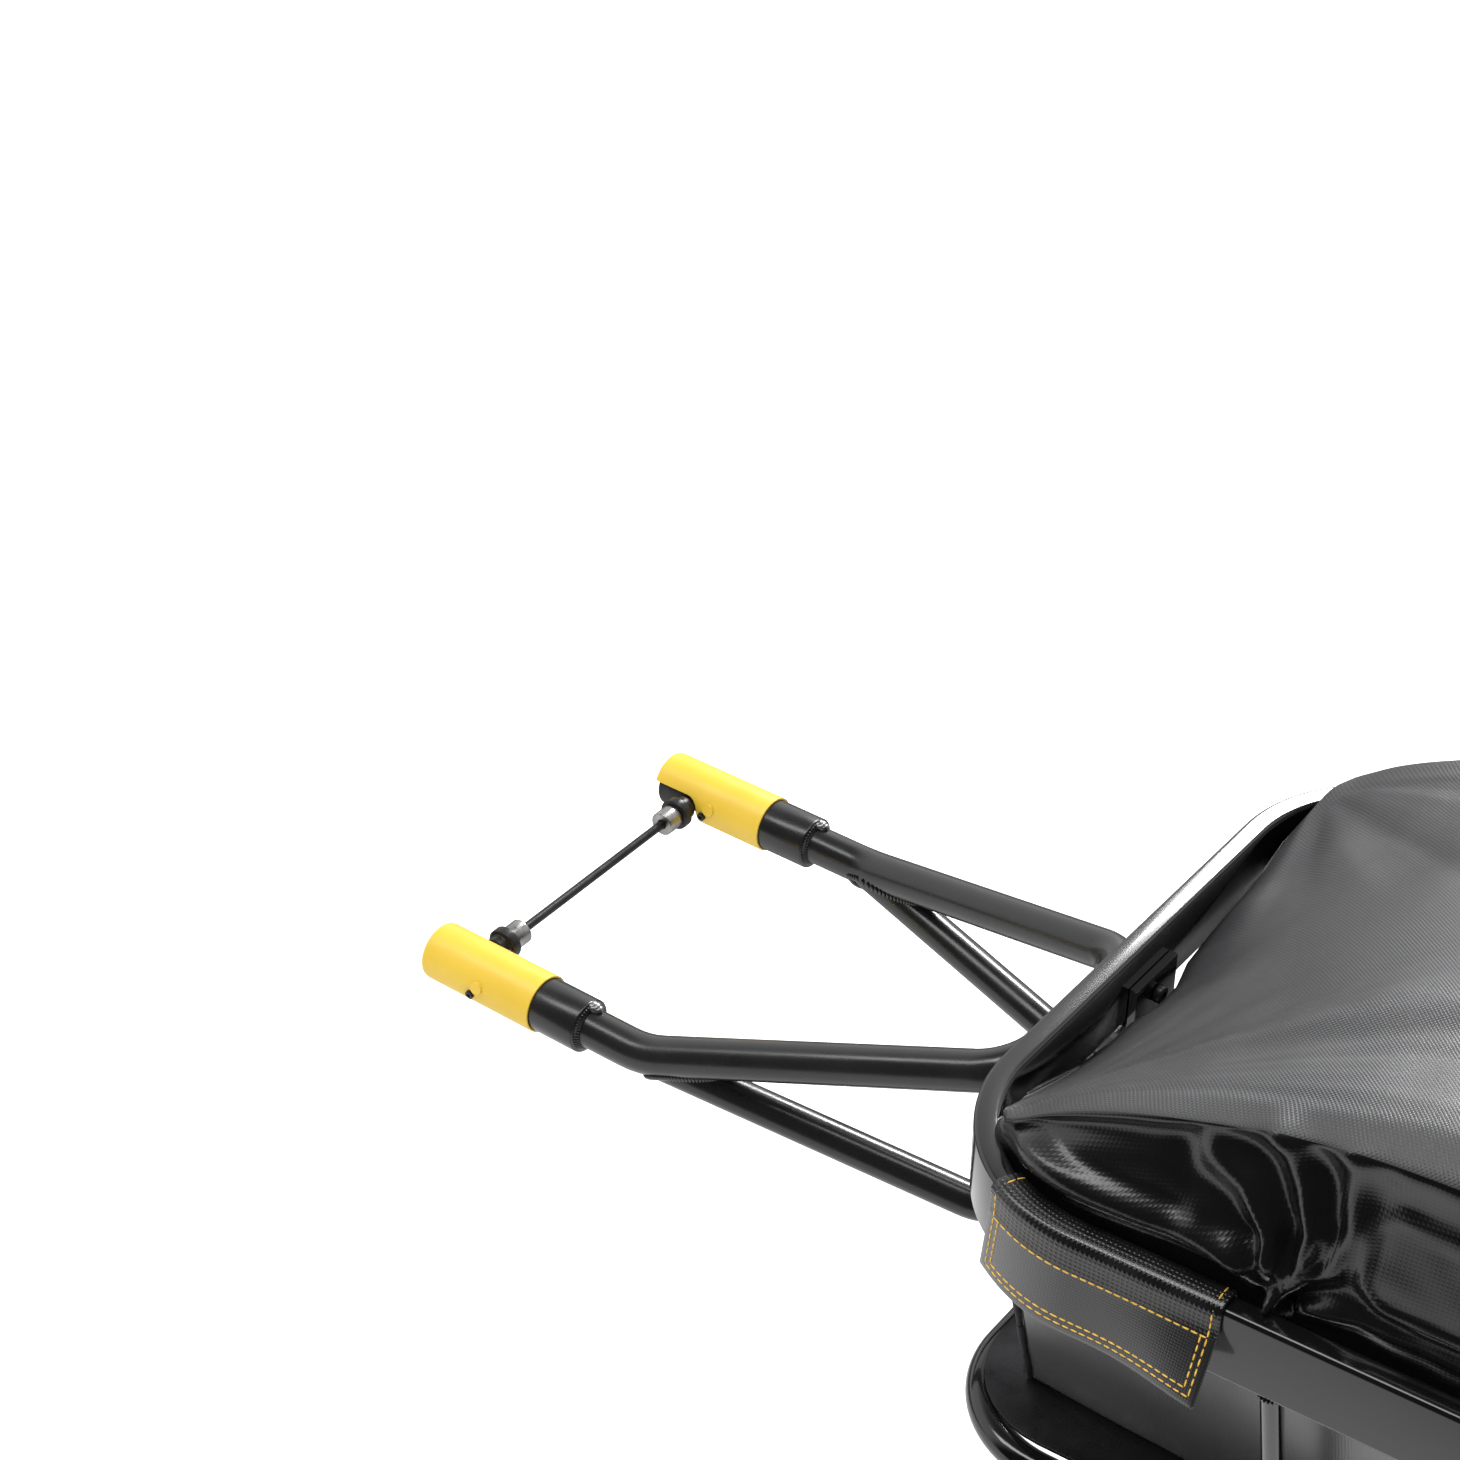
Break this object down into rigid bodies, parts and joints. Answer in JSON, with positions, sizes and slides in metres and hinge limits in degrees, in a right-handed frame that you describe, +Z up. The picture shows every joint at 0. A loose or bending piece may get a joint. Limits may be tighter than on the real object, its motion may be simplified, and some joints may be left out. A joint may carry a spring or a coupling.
{
  "type": "single wheel touring trailer",
  "caption": "Single wheel bicycle trailer: forked yoke with sleeve-locked axle hitch, steering head, tube basket with roll-top dry bag, spoked wheel, mudguard.",
  "frame": {"origin": "middle of the hitch axle, which is the towing bicycle's rear axle", "axes": "+X back along the trailer, +Y to its right-hand side, +Z up"},
  "size_m": [1.5234, 0.4618, 0.6082],
  "materials": {
    "hitch_steel": "black oxide, semi-gloss",
    "yoke_paint": "satin black powder coat",
    "rim_paint": "gloss black",
    "sleeve_plastic": "satin yellow moulded",
    "bright_steel": "zinc plated",
    "spoke_steel": "polished",
    "wheel_alloy": "black anodised",
    "floor_aluminium": "black coated",
    "lever_alloy": "polished",
    "tyre_rubber": "matte",
    "black_plastic": "matte black",
    "reflector_red": "clear red prisms",
    "bag_matte": "matte coated weave",
    "bag_gloss": "glossy coated weave"
  },
  "bodies": {
    "yoke": {"hitch_jaw_left": "hitch_steel", "hitch_jaw_right": "hitch_steel", "hitch_body_left": "yoke_paint", "hitch_body_right": "yoke_paint", "yoke_upper_tube": "yoke_paint", "yoke_lower_tube": "yoke_paint", "steering_head_tube": "yoke_paint", "head_bush_upper": "black_plastic", "head_bush_lower": "black_plastic", "sleeve_spring_left": "bright_steel", "sleeve_spring_right": "bright_steel"},
    "sleeve_left": {"lock_sleeve_left": "sleeve_plastic", "sleeve_screw_left": "hitch_steel"},
    "sleeve_right": {"lock_sleeve_right": "sleeve_plastic", "sleeve_screw_right": "hitch_steel"},
    "hitch_axle": {"hitch_axle_rod": "hitch_steel", "hitch_axle_nut_left": "hitch_steel", "hitch_axle_nut_right": "hitch_steel"},
    "basket": {"pivot_bracket": "rim_paint", "king_pin": "bright_steel", "king_pin_nut": "bright_steel", "bracket_bolt_upper": "bright_steel", "bracket_bolt_lower": "bright_steel", "rim_rail": "rim_paint", "lower_rail": "rim_paint", "rear_cross_tube": "rim_paint", "strut_front_left": "rim_paint", "strut_front_right": "rim_paint", "strut_middle_left": "rim_paint", "strut_middle_right": "rim_paint", "strut_rear_left": "rim_paint", "strut_rear_right": "rim_paint", "floor_panel": "floor_aluminium", "dropout_left": "rim_paint", "dropout_right": "rim_paint", "upper_stay_left": "rim_paint", "upper_stay_right": "rim_paint", "wheel_axle": "bright_steel", "qr_skewer": "bright_steel", "qr_nut": "bright_steel", "mudguard": "black_plastic", "mudguard_bracket": "rim_paint", "mudguard_stay_left": "bright_steel", "mudguard_stay_right": "bright_steel", "reflector_housing": "black_plastic", "reflector_lens": "reflector_red", "bag_body": "bag_matte", "bag_roll_closure": "bag_gloss", "rail_flap_front_left": "bag_gloss", "rail_flap_front_right": "bag_gloss", "rail_flap_rear_left": "bag_gloss", "rail_flap_rear_right": "bag_gloss"},
    "wheel": {"tyre": "tyre_rubber", "wheel_rim": "wheel_alloy", "spoked_hub": "spoke_steel", "bearing_left": "bright_steel", "bearing_right": "bright_steel"},
    "release_lever": {"qr_lever": "lever_alloy"}
  },
  "joints": [
    {"name": "hitch_pivot", "type": "hinge", "parent": "yoke", "child": "hitch_axle", "pos_m": [0, 0, 0], "axis": [0, 1, 0], "range_deg": [-25, 20]},
    {"name": "sleeve_left_slide", "type": "slide", "parent": "yoke", "child": "sleeve_left", "axis": [1, 0, 0], "range_m": [0, 0.0345], "stiffness_N_per_m": 350, "springref_m": -0.02, "deforming": ["sleeve_spring_left"]},
    {"name": "sleeve_right_slide", "type": "slide", "parent": "yoke", "child": "sleeve_right", "axis": [1, 0, 0], "range_m": [0, 0.0345], "stiffness_N_per_m": 350, "springref_m": -0.02, "deforming": ["sleeve_spring_right"]},
    {"name": "steering", "type": "hinge", "parent": "yoke", "child": "basket", "pos_m": [0.395, 0, 0], "axis": [0, 0, 1], "range_deg": [-45, 45]},
    {"name": "wheel_spin", "type": "hinge", "parent": "basket", "child": "wheel", "pos_m": [1.28, 0, -0.125], "axis": [0, 1, 0], "continuous": true},
    {"name": "lever_turn", "type": "hinge", "parent": "basket", "child": "release_lever", "pos_m": [1.28, -0.0751, -0.125], "axis": [0, 0, -1], "range_deg": [0, 170]}
  ]
}
